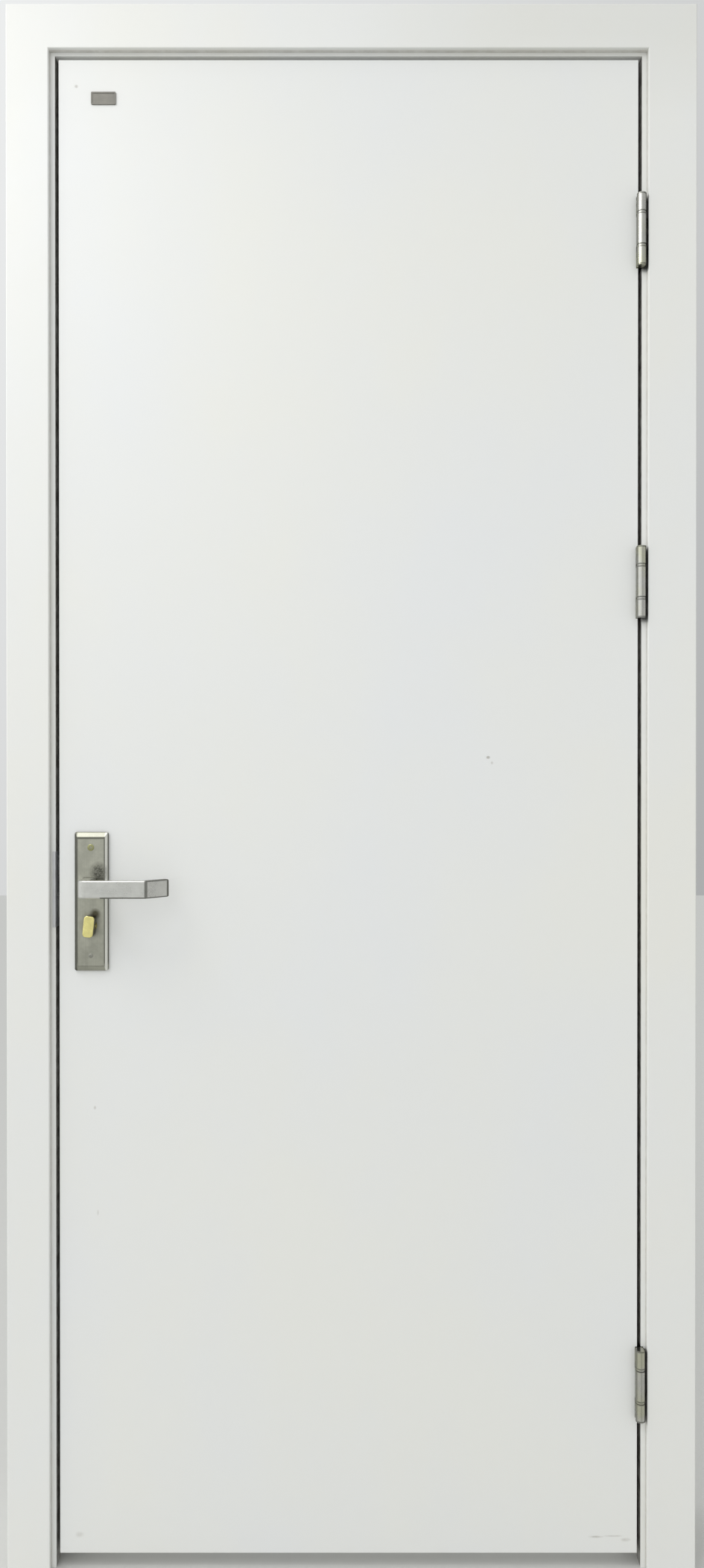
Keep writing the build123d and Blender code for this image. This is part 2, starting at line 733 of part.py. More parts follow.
def handle_pieces():
    """The lock, its plates, levers and thumb turn."""
    front_lever = lever()
    return {
        "lock_case": lock_case(),
        "lock_forend": forend(),
        "latch_bolt": latch_bolt(),
        "dead_bolt": dead_bolt(),
        "lock_cylinder": cylinder(),
        "front_handle_plate": front_handle_plate(),
        "back_handle_plate": back_handle_plate(),
        "front_lever": front_lever,
        "back_lever": to_back(front_lever),
        "spindle": spindle(),
        "thumb_turn": thumb_turn(),
    }


def all_pieces():
    """Every piece of the door by name."""
    pieces = {**frame_pieces(), **leaf_pieces(), **handle_pieces(), "badge": badge()}
    for name in HINGE_CENTRES:
        pieces.update(hinge_pieces(name))
    return pieces


os.makedirs("parts", exist_ok=True)
for piece_name, piece in all_pieces().items():
    export_step(piece, f"parts/{piece_name}.step")
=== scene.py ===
import json
import math

import bmesh
import bpy
from mathutils import Matrix, Vector


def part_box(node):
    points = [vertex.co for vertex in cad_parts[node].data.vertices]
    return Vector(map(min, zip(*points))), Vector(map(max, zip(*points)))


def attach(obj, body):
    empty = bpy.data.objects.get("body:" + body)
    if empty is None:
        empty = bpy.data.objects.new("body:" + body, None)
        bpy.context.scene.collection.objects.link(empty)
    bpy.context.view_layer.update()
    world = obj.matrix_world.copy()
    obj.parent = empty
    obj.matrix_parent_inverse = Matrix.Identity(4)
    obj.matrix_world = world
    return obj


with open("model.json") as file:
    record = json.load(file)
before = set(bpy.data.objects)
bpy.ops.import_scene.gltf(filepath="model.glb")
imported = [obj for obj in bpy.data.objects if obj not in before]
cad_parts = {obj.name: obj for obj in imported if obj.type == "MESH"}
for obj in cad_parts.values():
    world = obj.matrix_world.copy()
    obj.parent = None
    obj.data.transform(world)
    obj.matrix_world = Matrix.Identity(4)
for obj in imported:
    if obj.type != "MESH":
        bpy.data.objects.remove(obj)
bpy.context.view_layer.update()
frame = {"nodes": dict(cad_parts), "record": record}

# Places read from the frame, in metres
LEAF_LOW, LEAF_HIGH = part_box("front_skin")
LEAF_BACK_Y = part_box("back_skin")[1][1]
PLATE_LOW, PLATE_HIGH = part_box("front_handle_plate")
BACK_PLATE_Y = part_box("back_handle_plate")[1][1]
LEVER_TIP_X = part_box("front_lever")[1][0]
TURN_LOW, TURN_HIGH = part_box("thumb_turn")
LOCK_REBATE_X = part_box("lock_jamb")[1][0]
HINGE_REBATE_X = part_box("hinge_jamb")[0][0]
SOFFIT_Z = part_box("head_jamb")[0][2]
LOCK_BOARD_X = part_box("front_architrave_lock_side")[1][0]
HINGE_BOARD_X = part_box("front_architrave_hinge_side")[0][0]
HEAD_BOARD_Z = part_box("front_architrave_head")[0][2]
BOARD_FACE_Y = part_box("front_architrave_head")[0][1]
HINGES = ("top", "middle", "bottom")
PINS = {name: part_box(f"hinge_{name}_pin") for name in HINGES}
HINGE_MIDDLES = [(low[2] + high[2]) / 2 for low, high in PINS.values()]
HINGE_HALF = (PINS["top"][1][2] - PINS["top"][0][2]) / 2
RINGS_LOW, RINGS_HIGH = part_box("hinge_top_bearings")
BARREL_LEFT_X, BARREL_RIGHT_X = PINS["top"][0][0], PINS["top"][1][0]
SPINDLE_X = (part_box("spindle")[0][0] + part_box("spindle")[1][0]) / 2
SPINDLE_Z = (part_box("spindle")[0][2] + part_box("spindle")[1][2]) / 2

# Sizes of the solids that their boxes don't give
PLATE_SIDE_BEVEL = 0.0045
PLATE_END_BEVEL = 0.0070
LEVER_HALF_HEIGHT = 0.0120
LEVER_TIP_RUN = 0.0260
RING_HEIGHT = 0.0034
PIN_CAP = 0.0012
LEADING_EDGE_BEVEL = 0.0016

# The photograph's scale, the pixels of the leaf's left and lower edges, and the camera
METRES_PER_PIXEL = 0.0010224
PHOTO_HEIGHT = 2105
LEAF_LEFT_PIXEL = 79.5
LEAF_BOTTOM_PIXEL = 2085.0
LENS_MM = 26.0
SENSOR_MM = 36.0
CAMERA_TILT_DOWN = math.radians(0.25)
AIM_PIXEL = (472.5, 1049.45)

# The sky's level, and its slope toward +X, +Y and +Z
WORLD_ALL_ROUND = 0.720
WORLD_SLOPE = (-0.44, -0.15, 0.27)
WORLD_COLOUR = (0.985, 1.0, 1.0)

# The lamps: place, aim, width, height and power
LAMP_COLOUR = (1.0, 0.99, 0.97)
LAMPS = {
    "key": ((-1.35, -2.3, 3.05), (-0.62, 0.0, 1.45), 0.5, 0.5, 3.0),
    "ceiling": ((-1.61, -0.84, 2.56), (-1.61, -0.84, 0.0), 0.8, 0.8, 11.7),
    "fill": ((2.20, -0.90, 1.10), (-0.60, 0.0, 1.00), 1.2, 1.8, 2.4),
}

FLOOR_COLOUR = (0.62, 0.62, 0.60)
FLOOR_ROUGHNESS = 0.8
FLOOR_REACH = 9.0

# Surface colours: warm and cool tints of the white, then metals and the rest
FRAME_WARM, FRAME_COOL = (0.865, 0.860, 0.815), (0.850, 0.858, 0.855)
LEAF_WARM, LEAF_COOL = (0.865, 0.865, 0.830), (0.845, 0.855, 0.860)
# White darkened as painted shade at the head board's hinge end
SHADED_WHITE = (0.760, 0.758, 0.715)
CORE_BUFF = (0.62, 0.58, 0.50)
SEAL_GREY = (0.045, 0.045, 0.045)
PLATE_NICKEL = (0.52, 0.52, 0.44)
LEVER_NICKEL = (0.69, 0.69, 0.655)
HINGE_STEEL = (0.60, 0.595, 0.56)
HINGE_OLIVE = (0.55, 0.55, 0.41)
LOCK_STEEL = (0.66, 0.665, 0.68)
WORN_NICKEL = (0.36, 0.36, 0.32)
BRASS = (0.98, 0.89, 0.37)
OLD_BRASS = (0.37, 0.37, 0.19)
BADGE_GREY = (0.290, 0.280, 0.252)
# Colours of painted shade, shadow, reflection and highlight; the first also colours the leaf's real
# marks, the third the hinges' dark joints and the plate's darker foot
SOIL_AND_SHADE = (0.32, 0.29, 0.24)
GAP_SHADE = (0.11, 0.10, 0.085)
TARNISH_AND_SHADE = (0.085, 0.085, 0.070)
DEEP_SHADE = (0.014, 0.014, 0.009)
BRASS_DARK_REFLECTION = (0.045, 0.035, 0.006)
BRASS_REFLECTION = (0.20, 0.17, 0.060)
BEVEL_HIGHLIGHT = (0.80, 0.80, 0.74)

# Scales of the noise in the surfaces, in cells to a metre
CLOUD_SCALE = 2.2
WAVE_SCALE = 5.0
RUB_SCALE = 7.0
OLIVE_SCALE = 26.0
METAL_PATCH_SCALE = 55.0
DIRT_SCALE = 60.0
FLOOR_GRAIN_SCALE = 60.0
BRASS_WEAR_SCALE = 120.0
SCRATCH_SCALE = 160.0
PEEL_SCALE = 420.0
MOTTLE_SCALE = 420.0
CORE_GRAIN_SCALE = 300.0
SEAL_GRAIN_SCALE = 500.0

# How strongly the white sheets shine
SHEET_SPECULAR = 0.4

# Scales of brushed metal along X, Y and Z, for lines that run up or along the lever
UP_GRAIN = (900.0, 900.0, 14.0)
ALONG_GRAIN = (14.0, 900.0, 900.0)

# How strongly painted shade, painted reflections and other darkening show where they are full, from 0 to
# 1
HEAD_SHADE_SHARE = 0.50
REBATE_SHADE_SHARE, DEEP_REBATE_SHARE = 0.92, 0.35
CORNER_SHADE_SHARE = 0.45
HINGE_SHADOW_SHARE = 0.95
LEAF_EDGE_SHARE = 0.50
PLATE_LOW_DARK_SHARE = 0.22
PLATE_CREASE_SHARE, PLATE_FOOT_SHARE = 0.80, 0.35
PLATE_SHADOW_LINE_SHARE = 0.75
TURN_HALO_SHARE = 0.45
TURN_REFLECTION_SHARE = 0.80
TURN_SIDE_SHARE = 0.97

# The head board's end with painted shade: its left and lower limits, and how far each takes to fade
HEAD_SHADE_FROM_X, HEAD_SHADE_REACH = -0.20, 0.25
HEAD_SHADE_FROM_Z, HEAD_SHADE_DROP = HEAD_BOARD_Z + 0.02, 0.12

# Strips of painted shade: how far behind the leaf's faces the rebates' painted shade starts and ends, the
# depths between which it thins, how deep the boards' corners are painted dark as shade, and how wide the
# leaf's lock edge is shaded
REBATE_SHADE_BEHIND = 0.003
REBATE_THIN_FROM, REBATE_THIN_TO = 0.018, 0.030
CORNER_SHADE_DEPTH = 0.0035
LEAF_EDGE_WIDTH = 0.0012

# Painted shadow by the hinges: how far behind the boards' face it starts, how far below a hinge's lower
# end, how far short of its upper end it stops, and how deep it goes
SHADOW_BEHIND_FACE = 0.0014
SHADOW_BELOW = 0.001
SHADOW_SHORT = 0.007
SHADOW_TO_Y = 0.0005

# Painted shadow and reflections on the handle plate: photograph pixel, then half width and half height in
# metres
LEVER_REFLECTION_PIXEL, LEVER_REFLECTION_SIZE = (134.0, 1170.5), (0.0140, 0.0160)
LEVER_SHADOW_PIXEL, LEVER_SHADOW_HALF = (127.5, 1178.8), (0.0125, 0.0012)
TURN_REFLECTION_PIXEL, TURN_REFLECTION_SIZE = (129.5, 1226.0), (0.0085, 0.0085)
PLATE_SPOT_DEPTH = 0.02

# The painted brass reflection round the thumb turn: half sizes, and its shift toward the lock side
TURN_HALO_SIZE = (0.0130, 0.0210)
TURN_HALO_SHIFT = 0.0035

# Painted shade in the creases of the handle plate: the widths of the lines on its bevel and its outline,
# the top crease's edges below the plate's top, and the heights between which the creases gain strength
BEVEL_CREASE_WIDTH = 0.00096
OUTLINE_CREASE_WIDTH = 0.00132
TOP_CREASE_LOW, TOP_CREASE_HIGH = 0.0090, 0.0076
PLATE_FOOT_LOW, PLATE_FOOT_HIGH = 0.008, 0.012
PLATE_LOW_DARK_HEIGHT = 0.070

# The painted highlight line down the plate's bevel: its distance from the plate's side, the distances
# from it at which the highlight starts and is full, and how metallic it is left
HIGHLIGHT_FROM_SIDE = PLATE_SIDE_BEVEL * 0.55
HIGHLIGHT_START, HIGHLIGHT_FULL = 0.0022, 0.0010
HIGHLIGHT_METALLIC = 0.35

# Lines on the plate and the hinges, all painted shade but the hinges' dark joints: the distance at which
# each starts, the one at which it is full, and how strongly it shows
PLATE_LOCK_SIDE_LINE = (0.0046, 0.0030, 0.85)
HINGE_JOINT_LINE = (0.0015, 0.0006, 0.65)
HINGE_LEFT_LINE = (0.0020, 0.0008, 0.60)
HINGE_MIDDLE_LINE = (0.0016, 0.0004, 0.28)
HINGE_RIGHT_LINE = (0.0027, 0.0016, 0.92)

# Painted shade lines on the levers: their width, and how far from the spindle the lower one starts
LEVER_EDGE_WIDTH = 0.0012
LEVER_NECK_RUN = 0.024

# The depth of the thumb turn's bright face, behind which its sides get a painted dark reflection
TURN_FACE_DEPTH = 0.0010

# Marks on the leaf: photograph pixel, half size in metres, darkness
MARK_DEPTH = 0.01
MARKS = (
    ((103.3, 116.0), (0.0030, 0.0030), 0.50),
    ((655.3, 1016.8), (0.0032, 0.0026), 0.85),
    ((660.4, 1024.0), (0.0022, 0.0028), 0.35),
    ((127.0, 1487.0), (0.0022, 0.0032), 0.45),
    ((131.0, 1628.0), (0.0014, 0.0050), 0.30),
    ((801.0, 2063.0), (0.0120, 0.0020), 0.45),
    ((824.0, 2062.0), (0.0160, 0.0012), 0.40),
    ((841.0, 2067.0), (0.0080, 0.0032), 0.35),
    ((106.0, 2060.0), (0.0070, 0.0050), 0.25),
)

# Screw heads: how far each stands out and goes in, its sides, and the turn of its recess
SCREW_RISE = 0.0007
SCREW_SINK = 0.0012
SCREW_SIDES = 40
SCREW_TURN = 0.3

# The cross recess: its arm's width and reach as shares of the head's radius, the share of both that
# is left at its bottom, its depth, and how far its cutter stands out
CROSS_WIDTH = 0.26
CROSS_REACH = 0.62
CROSS_TAPER = 0.7
CROSS_DEPTH = SCREW_SINK * 0.8
CROSS_TOP = 0.002

# Where the screws sit, and their radii
PLATE_SCREW_FROM_END = 0.021
PLATE_SCREW_RADIUS = 0.0046
SUNK_SCREW_RADIUS = 0.0030
HINGE_SCREW_RADIUS = 0.0045
HINGE_SCREW_FIRST, HINGE_SCREW_STEP = 0.12, 0.2533
HINGE_SCREW_DEPTHS = (0.011, 0.021, 0.021, 0.011)
HINGE_SCREW_TURN = 0.4
SMALL_SCREW_RADIUS = 0.0036
FOREND_SCREW_FROM_END = 0.010
FOREND_SCREW_INSET = 0.0002
STRIKE_SCREW_FROM_END = 0.008


def shade(colour, share):
    """A colour darkened to a share of its brightness."""
    return tuple(channel * share for channel in colour)


def door_point(pixel_x, pixel_y):
    """The place on the leaf's front face at a pixel of the photograph, if it were taken square on."""
    x = LEAF_LOW[0] + (pixel_x - LEAF_LEFT_PIXEL) * METRES_PER_PIXEL
    z = LEAF_LOW[2] + (LEAF_BOTTOM_PIXEL - pixel_y) * METRES_PER_PIXEL
    return (x, LEAF_LOW[1], z)


def mark_point(pixel_x, pixel_y):
    """The place on the leaf's front face at a pixel, with the camera's small tilt taken out."""
    focal = LENS_MM / SENSOR_MM * PHOTO_HEIGHT
    up = PHOTO_HEIGHT / 2 - pixel_y
    level = focal * math.tan(math.atan(up / focal) - CAMERA_TILT_DOWN)
    level += focal * math.tan(CAMERA_TILT_DOWN)
    return door_point(pixel_x, AIM_PIXEL[1] - level)


class Nodes:
    """A short way to build a material's nodes."""

    def __init__(self, name):
        self.material = bpy.data.materials.new(name)
        self.material.use_nodes = True
        self.tree = self.material.node_tree
        self.shader = self.tree.nodes["Principled BSDF"]
        self.place = self.node("ShaderNodeTexCoord").outputs["Object"]

    def node(self, kind, **settings):
        """A new node with the given settings."""
        made = self.tree.nodes.new(kind)
        for key, value in settings.items():
            setattr(made, key, value)
        return made

    def link(self, source, target):
        """Joins an output to an input."""
        self.tree.links.new(source, target)

    def stretch(self, scale):
        """The place, scaled along each axis."""
        mapping = self.node("ShaderNodeMapping")
        mapping.inputs["Scale"].default_value = scale
        self.link(self.place, mapping.inputs["Vector"])
        return mapping.outputs["Vector"]

    def noise(self, scale, detail=3.0, roughness=0.5, vector=None):
        """Soft noise at the place or at another vector."""
        made = self.node("ShaderNodeTexNoise")
        made.inputs["Scale"].default_value = scale
        made.inputs["Detail"].default_value = detail
        made.inputs["Roughness"].default_value = roughness
        self.link(vector or self.place, made.inputs["Vector"])
        return made.outputs["Fac"]

    def ramp(self, value, low, high, to_low=0.0, to_high=1.0):
        """value mapped from low..high to to_low..to_high, and held there beyond."""
        made = self.node("ShaderNodeMapRange")
        made.inputs["From Min"].default_value = low
        made.inputs["From Max"].default_value = high
        made.inputs["To Min"].default_value = to_low
        made.inputs["To Max"].default_value = to_high
        self.link(value, made.inputs["Value"])
        return made.outputs["Result"]

    def math(self, operation, first, second=0.0):
        """A sum on numbers or outputs."""
        made = self.node("ShaderNodeMath", operation=operation)
        for socket, value in zip(made.inputs, (first, second)):
            if isinstance(value, (int, float)):
                socket.default_value = value
            else:
                self.link(value, socket)
        return made.outputs["Value"]

    def gap(self, first, second):
        """How far apart two values are."""
        return self.math("ABSOLUTE", self.math("SUBTRACT", first, second))

    def strongest(self, masks):
        """The largest of several masks."""
        made = masks[0]
        for mask in masks[1:]:
            made = self.math("MAXIMUM", made, mask)
        return made

    def mix(self, factor, first, second):
        """The first colour where factor is 0, the second where it is 1."""
        made = self.node("ShaderNodeMix", data_type="RGBA")
        self.link(factor, made.inputs["Factor"])
        for socket, value in ((made.inputs["A"], first), (made.inputs["B"], second)):
            if isinstance(value, tuple):
                socket.default_value = (*value, 1.0)
            else:
                self.link(value, socket)
        return made.outputs["Result"]

    def colour(self, tint):
        """Makes a colour the surface's own."""
        self.link(tint, self.shader.inputs["Base Color"])

    def bump(self, height, strength, distance, under=None):
        """A normal raised by a height, on top of another bump if there is one."""
        made = self.node("ShaderNodeBump")
        made.inputs["Strength"].default_value = strength
        made.inputs["Distance"].default_value = distance
        self.link(height, made.inputs["Height"])
        if under is not None:
            self.link(under, made.inputs["Normal"])
        return made.outputs["Normal"]

    def vector(self, operation, first, second=None):
        """A vector node on an output and, if given, a constant."""
        made = self.node("ShaderNodeVectorMath", operation=operation)
        self.link(first, made.inputs[0])
        if second is not None:
            made.inputs[1].default_value = second
        return made

    def axes(self, vector=None):
        """The x, y and z of the place or of another vector."""
        split = self.node("ShaderNodeSeparateXYZ")
        self.link(vector or self.place, split.inputs["Vector"])
        return split.outputs["X"], split.outputs["Y"], split.outputs["Z"]

    def near(self, centre, sizes):
        """1 near a place, falling to 0 at the given distances from it along each axis."""
        shifted = self.vector("SUBTRACT", self.place, centre).outputs["Vector"]
        scaled = self.vector("DIVIDE", shifted, sizes).outputs["Vector"]
        length = self.vector("LENGTH", scaled).outputs["Value"]
        return self.ramp(length, 1.0, 0.35)

    def box(self, low, high, soft):
        """1 inside a box, falling to 0 over the given distances outside its sides."""
        centre = [(a + b) / 2 for a, b in zip(low, high)]
        half = [(b - a) / 2 for a, b in zip(low, high)]
        shifted = self.vector("SUBTRACT", self.place, centre).outputs["Vector"]
        away = self.vector("ABSOLUTE", shifted).outputs["Vector"]
        outside = self.vector("SUBTRACT", away, half).outputs["Vector"]
        scaled = self.vector("DIVIDE", outside, soft).outputs["Vector"]
        return self.ramp(self.strongest(self.axes(scaled)), 1.0, 0.0)

    def rectangle_line(self, centre, half, width):
        """1 along the outline of a rectangle seen from the front, 0 a width away from it."""
        x, _, z = self.axes()
        over_x = self.math("SUBTRACT", self.gap(x, centre[0]), half[0])
        over_z = self.math("SUBTRACT", self.gap(z, centre[1]), half[1])
        distance = self.math("ABSOLUTE", self.math("MAXIMUM", over_x, over_z))
        return self.ramp(distance, width, width * 0.3)


def white_sheet(name, warm, cool, gloss_low, gloss_high):
    """Smooth white sheet: faint clouding, a fine orange peel and uneven satin gloss."""
    nodes = Nodes(name)
    stretched = nodes.stretch((1.0, 1.0, 0.7))
    cloud = nodes.noise(CLOUD_SCALE, detail=5.0, roughness=0.55, vector=stretched)
    tint = nodes.mix(nodes.ramp(cloud, 0.38, 0.62), warm, cool)
    rub = nodes.noise(RUB_SCALE, detail=5.0, roughness=0.6)
    nodes.link(nodes.ramp(rub, 0.3, 0.7, gloss_low, gloss_high), nodes.shader.inputs["Roughness"])
    peel = nodes.bump(nodes.noise(PEEL_SCALE, detail=2.0), strength=0.05, distance=0.0005)
    waves = nodes.bump(nodes.noise(WAVE_SCALE, detail=2.0), strength=0.10, distance=0.004, under=peel)
    nodes.link(waves, nodes.shader.inputs["Normal"])
    nodes.shader.inputs["Specular IOR Level"].default_value = SHEET_SPECULAR
    return nodes, tint


def broken(nodes, mask, share):
    """A mask made patchy with noise, and weakened to a share."""
    patchy = nodes.ramp(nodes.noise(DIRT_SCALE, detail=4.0, roughness=0.7), 0.30, 0.62, 0.55, 1.0)
    return nodes.math("MULTIPLY", nodes.math("MULTIPLY", mask, patchy), share)


def head_shade(nodes):
    """The part of the front boards, at the head's hinge end, painted darker as shade where the light
    falls off.
    """
    low = (HEAD_SHADE_FROM_X, -1.0, HEAD_SHADE_FROM_Z)
    high = (HINGE_REBATE_X + HEAD_SHADE_REACH, 0.0, SOFFIT_Z + 1.0)
    return nodes.box(low, high, (HEAD_SHADE_REACH, 0.01, HEAD_SHADE_DROP))


def rebate_shade(nodes):
    """Painted shade in the rebates at both sides of the leaf, thinner toward the stops."""
    front, back = REBATE_SHADE_BEHIND, LEAF_BACK_Y + REBATE_SHADE_BEHIND
    rebates = (
        ((LOCK_REBATE_X, front, 0.0), (LOCK_REBATE_X, back, SOFFIT_Z)),
        ((HINGE_REBATE_X, front, 0.0), (HINGE_REBATE_X, back, SOFFIT_Z)),
    )
    soft = (0.001, 0.002, 0.001)
    shade_strip = nodes.strongest([nodes.box(low, high, soft) for low, high in rebates])
    _, y, _ = nodes.axes()
    thinned = nodes.ramp(y, REBATE_THIN_FROM, REBATE_THIN_TO, 1.0, DEEP_REBATE_SHARE)
    return nodes.math("MULTIPLY", shade_strip, thinned)


def corner_shade(nodes):
    """Painted shade in the corners between the lining's front edges and the boards."""
    front = -CORNER_SHADE_DEPTH
    corners = (
        ((LOCK_BOARD_X, front, 0.0), (LOCK_BOARD_X, 0.0, HEAD_BOARD_Z)),
        ((HINGE_BOARD_X, front, 0.0), (HINGE_BOARD_X, 0.0, HEAD_BOARD_Z)),
        ((LOCK_BOARD_X, front, HEAD_BOARD_Z), (HINGE_BOARD_X, 0.0, HEAD_BOARD_Z)),
    )
    soft = (0.0007, 0.003, 0.0007)
    return nodes.strongest([nodes.box(low, high, soft) for low, high in corners])


def hinge_shadow(nodes):
    """Painted shadow between each hinge's barrel and the board beside it."""
    beside = [
        nodes.box(
            (HINGE_REBATE_X, BOARD_FACE_Y + SHADOW_BEHIND_FACE, middle - HINGE_HALF - SHADOW_BELOW),
            (HINGE_BOARD_X, SHADOW_TO_Y, middle + HINGE_HALF - SHADOW_SHORT),
            soft=(0.0006, 0.0008, 0.006),
        )
        for middle in HINGE_MIDDLES
    ]
    return nodes.strongest(beside)


def frame_sheet():
    """The frame's white sheet, with painted shade at the head, in the rebates and corners and by the
    hinges.
    """
    nodes, tint = white_sheet("frame_white", FRAME_WARM, FRAME_COOL, 0.42, 0.56)
    # Painted shade at the head board's hinge end, where the light falls off
    tint = nodes.mix(nodes.math("MULTIPLY", head_shade(nodes), HEAD_SHADE_SHARE), tint, SHADED_WHITE)
    # Painted shade in the rebates beside the leaf
    tint = nodes.mix(broken(nodes, rebate_shade(nodes), REBATE_SHADE_SHARE), tint, GAP_SHADE)
    # Painted shade in the corners by the boards
    tint = nodes.mix(broken(nodes, corner_shade(nodes), CORNER_SHADE_SHARE), tint, SOIL_AND_SHADE)
    # Painted shadow beside the hinges
    nodes.colour(nodes.mix(broken(nodes, hinge_shadow(nodes), HINGE_SHADOW_SHARE), tint, DEEP_SHADE))
    return nodes.material


def leaf_sheet():
    """The leaf's white sheet with its small marks, and painted shade on its side edges in the gaps."""
    nodes, tint = white_sheet("leaf_white", LEAF_WARM, LEAF_COOL, 0.38, 0.50)
    marks = []
    for pixel, (wide, high), dark in MARKS:
        spot = nodes.near(mark_point(*pixel), (wide, MARK_DEPTH, high))
        marks.append(nodes.math("MULTIPLY", spot, dark))
    scratches = nodes.noise(SCRATCH_SCALE, detail=4.0, roughness=0.7)
    scratched = nodes.ramp(scratches, 0.25, 0.60, 0.35, 1.0)
    marks_and_shade = nodes.math("MULTIPLY", nodes.strongest(marks), scratched)
    # Painted shade along both side edges of the leaf, in the gaps
    front, back = LEAF_LOW[1] + 0.003, LEAF_BACK_Y - 0.002
    edges = (
        ((LEAF_LOW[0], front, LEAF_LOW[2]), (LEAF_LOW[0] + LEAF_EDGE_WIDTH, back, LEAF_HIGH[2])),
        ((LEAF_HIGH[0], front, LEAF_LOW[2]), (LEAF_HIGH[0], back, LEAF_HIGH[2])),
    )
    soft = (0.0006, 0.002, 0.0006)
    shade_strip = nodes.strongest([nodes.box(low, high, soft) for low, high in edges])
    marks_and_shade = nodes.math("MAXIMUM", marks_and_shade, broken(nodes, shade_strip, LEAF_EDGE_SHARE))
    nodes.colour(nodes.mix(marks_and_shade, tint, SOIL_AND_SHADE))
    return nodes.material


def brushed_metal(name, colour, grain, rough_low, rough_high, metallic=1.0, depth=0.80):
    """Satin metal with fine lines; grain is the scale along each axis, large across the lines."""
    nodes = Nodes(name)
    lines = nodes.noise(1.0, detail=4.0, roughness=0.6, vector=nodes.stretch(grain))
    patches = nodes.noise(METAL_PATCH_SCALE, detail=5.0, roughness=0.65)
    fine_tone = nodes.ramp(lines, 0.3, 0.7, 0.55, 1.0)
    wide_tone = nodes.ramp(patches, 0.38, 0.62, 0.35, 1.0)
    tint = nodes.mix(nodes.math("MULTIPLY", fine_tone, wide_tone), shade(colour, depth), colour)
    nodes.colour(tint)
    nodes.link(nodes.ramp(patches, 0.3, 0.7, rough_low, rough_high), nodes.shader.inputs["Roughness"])
    nodes.link(nodes.bump(lines, strength=0.18, distance=0.0002), nodes.shader.inputs["Normal"])
    nodes.shader.inputs["Metallic"].default_value = metallic
    return nodes, tint


def plate_spot(nodes, x, z, half):
    """1 at a place on the handle plate, falling to 0 at a half width and a half height."""
    return nodes.near((x, PLATE_LOW[1], z), (half[0], PLATE_SPOT_DEPTH, half[1]))


def plate_crease_shade(nodes):
    """The painted shade lines on the plate's bevel and outline, fainter at its foot."""
    centre = ((PLATE_LOW[0] + PLATE_HIGH[0]) / 2, (PLATE_LOW[2] + PLATE_HIGH[2]) / 2)
    outer = ((PLATE_HIGH[0] - PLATE_LOW[0]) / 2, (PLATE_HIGH[2] - PLATE_LOW[2]) / 2)
    inner = (outer[0] - PLATE_SIDE_BEVEL, outer[1] - PLATE_END_BEVEL)
    bevel = nodes.rectangle_line(centre, inner, BEVEL_CREASE_WIDTH)
    outline = nodes.rectangle_line(centre, outer, OUTLINE_CREASE_WIDTH)
    _, _, z = nodes.axes()
    foot_low, foot_high = PLATE_LOW[2] + PLATE_FOOT_LOW, PLATE_LOW[2] + PLATE_FOOT_HIGH
    share = nodes.ramp(z, foot_low, foot_high, PLATE_FOOT_SHARE, PLATE_CREASE_SHARE)
    return nodes.math("MULTIPLY", nodes.math("MAXIMUM", bevel, outline), share)


def plate_shadow_lines(nodes):
    """The painted shadow lines across the plate, under the lever and below the top bevel."""
    line_x, _, line_z = mark_point(*LEVER_SHADOW_PIXEL)
    half_width, half_height = LEVER_SHADOW_HALF
    # Painted shadow of the lever on the plate
    lever_shadow = nodes.box(
        (line_x - half_width, -1.0, line_z - half_height),
        (line_x + half_width, 1.0, line_z + half_height),
        (0.003, 0.1, 0.0012),
    )
    # Painted shade below the plate's top bevel
    below_top = nodes.box(
        (PLATE_LOW[0] + PLATE_SIDE_BEVEL, -1.0, PLATE_HIGH[2] - TOP_CREASE_LOW),
        (PLATE_HIGH[0] - PLATE_SIDE_BEVEL, 1.0, PLATE_HIGH[2] - TOP_CREASE_HIGH),
        (0.0008, 0.1, 0.0008),
    )
    return nodes.math("MULTIPLY", nodes.math("MAXIMUM", lever_shadow, below_top), PLATE_SHADOW_LINE_SHARE)


def plate_painted_shade(nodes):
    """All of the plate's painted shade and reflections: creases, lines, its lock side and a mottled lever
    reflection.
    """
    x, _, _ = nodes.axes()
    # Painted dark reflection down the plate's lock-side bevel
    start, full, share = PLATE_LOCK_SIDE_LINE
    lock_side = nodes.ramp(x, PLATE_LOW[0] + start, PLATE_LOW[0] + full, 0.0, share)
    # Painted dark reflection of the lever, mottled
    reflection_x, _, reflection_z = mark_point(*LEVER_REFLECTION_PIXEL)
    lever_reflection = plate_spot(nodes, reflection_x, reflection_z, LEVER_REFLECTION_SIZE)
    mottle = nodes.ramp(nodes.noise(MOTTLE_SCALE, roughness=0.6), 0.35, 0.60, 0.50, 0.95)
    lever_reflection = nodes.math("MULTIPLY", lever_reflection, mottle)
    return nodes.strongest([plate_crease_shade(nodes), lock_side, plate_shadow_lines(nodes), lever_reflection])


